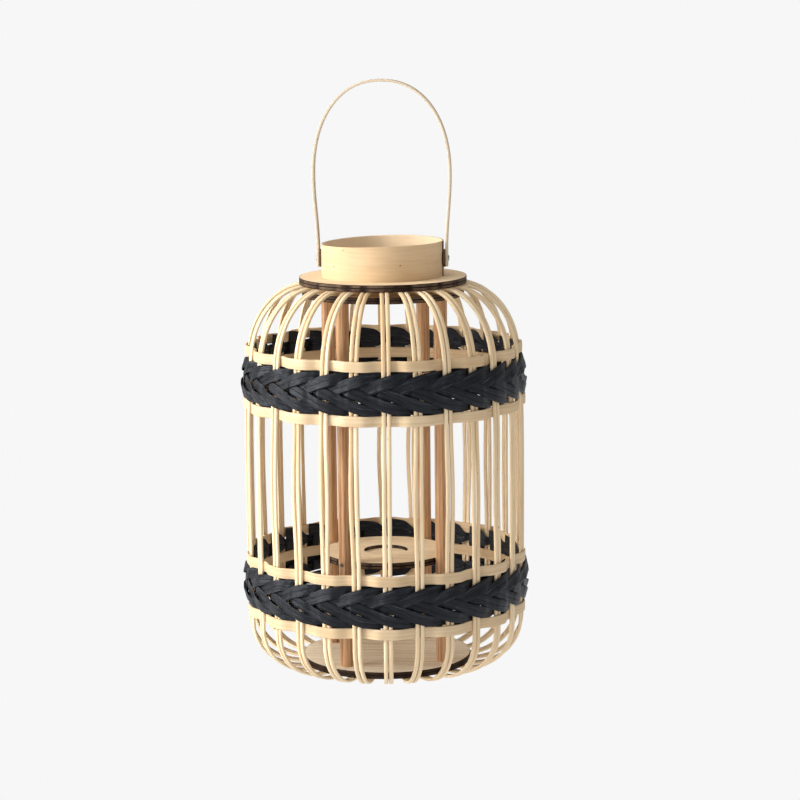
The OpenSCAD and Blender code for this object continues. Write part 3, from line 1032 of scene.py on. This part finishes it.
def backdrop():
    """The sweep, and a round wall far behind it so that the ground stays plain from every side."""
    material = sweep_paper()
    behind, curve, reach, far = 3.0, 1.5, 35.0, 30
    bend = [(behind + curve * math.cos(t), curve + curve * math.sin(t))
            for t in np.radians(np.linspace(-90, 0, 17))]
    line = [(-reach, 0.0)] + bend + [(behind + curve, 8.0)]
    sweep_rows = [((-reach, y, z), (reach, y, z)) for y, z in line]
    wall_rows = [[(far * math.cos(t), far * math.sin(t), z) for z in (-1.0, 30.0)]
                 for t in np.radians(np.linspace(0, 360, 73))]
    for name, rows in (("sweep", sweep_rows), ("far_wall", wall_rows)):
        mesh = bpy.data.meshes.new(name)
        faces = [(2 * i, 2 * i + 1, 2 * i + 3, 2 * i + 2) for i in range(len(rows) - 1)]
        mesh.from_pydata([point for row in rows for point in row], [], faces)
        mesh.materials.append(material)
        ground = bpy.data.objects.new(name, mesh)
        bpy.context.collection.objects.link(ground)
        ground.visible_diffuse = False
        ground.visible_glossy = False
        ground.visible_shadow = name == "sweep"


def camera(scene):
    """A long lens in front of the lantern and a little above it."""
    turn, pitch, roll = (math.radians(a) for a in (5.4, -9.3, 0.6))
    aside, back, rise = 14.2 * MM, 2350 * MM, 629 * MM
    eye = bpy.data.objects.new("camera", bpy.data.cameras.new("camera"))
    eye.data.lens = 118.8
    eye.data.sensor_width = 36
    eye.data.clip_end = 60
    eye.location = (
        back * math.sin(turn) + aside * math.cos(turn),
        -back * math.cos(turn) + aside * math.sin(turn), rise)
    eye.rotation_euler = (
        Matrix.Rotation(turn, 4, "Z") @ Matrix.Rotation(math.radians(90) + pitch, 4, "X")
        @ Matrix.Rotation(-roll, 4, "Z")).to_euler()
    bpy.context.collection.objects.link(eye)
    scene.camera = eye


class LANTERN_OT_stage(bpy.types.Operator):
    """Stand the lantern on a white sweep, light it softly from the left, and aim the camera"""

    bl_idname = "lantern.stage"
    bl_label = "Stage"

    def execute(self, context):
        context.scene.view_settings.view_transform = "Standard"
        sky(context.scene)
        backdrop()
        area_light("key", (-2.1, -0.75, 0.9), (0, 0, 0.22), (1.2, 1.6), 95, (1.0, 0.98, 0.95))
        area_light("bounce", (0.2, -2.0, 0.12), (0, 0, 0.08), (2.2, 0.6), 7)
        area_light("top", (-0.3, -0.2, 2.0), (0, 0, 0.2), (1.4, 1.4), 9)
        camera(context.scene)
        return {"FINISHED"}


# ---------------------------------------------------------------------------
# Add-on
# ---------------------------------------------------------------------------


class LANTERN_PT_panel(bpy.types.Panel):
    """Steps that build the lantern, with its sizes and colours"""

    bl_idname = "LANTERN_PT_panel"
    bl_label = "Bamboo Lantern"
    bl_space_type = "VIEW_3D"
    bl_region_type = "UI"
    bl_category = "Lantern"

    def draw(self, context):
        column = self.layout.column()
        for step_class in STEPS:
            column.operator(step_class.bl_idname)
        for owner in (sizes(), colours()):
            box = self.layout.box()
            for name in type(owner).__annotations__:
                box.prop(owner, name)


STEPS = (
    LANTERN_OT_ribs, LANTERN_OT_hoops, LANTERN_OT_plaits, LANTERN_OT_plywood, LANTERN_OT_posts,
    LANTERN_OT_collar, LANTERN_OT_handle, LANTERN_OT_fasteners, LANTERN_OT_stage)
CLASSES = (LanternSizes, LanternColours, *STEPS, LANTERN_PT_panel)


def register():
    for cls in CLASSES:
        bpy.utils.register_class(cls)
    bpy.types.Scene.lantern_sizes = bpy.props.PointerProperty(type=LanternSizes)
    bpy.types.Scene.lantern_colours = bpy.props.PointerProperty(type=LanternColours)


def unregister():
    del bpy.types.Scene.lantern_colours
    del bpy.types.Scene.lantern_sizes
    for cls in reversed(CLASSES):
        bpy.utils.unregister_class(cls)


def main():
    register()
    for step_class in STEPS:
        area, name = step_class.bl_idname.split(".")
        if getattr(getattr(bpy.ops, area), name)() != {"FINISHED"}:
            raise RuntimeError(step_class.bl_label + " did not finish")


if __name__ == "__main__":
    main()
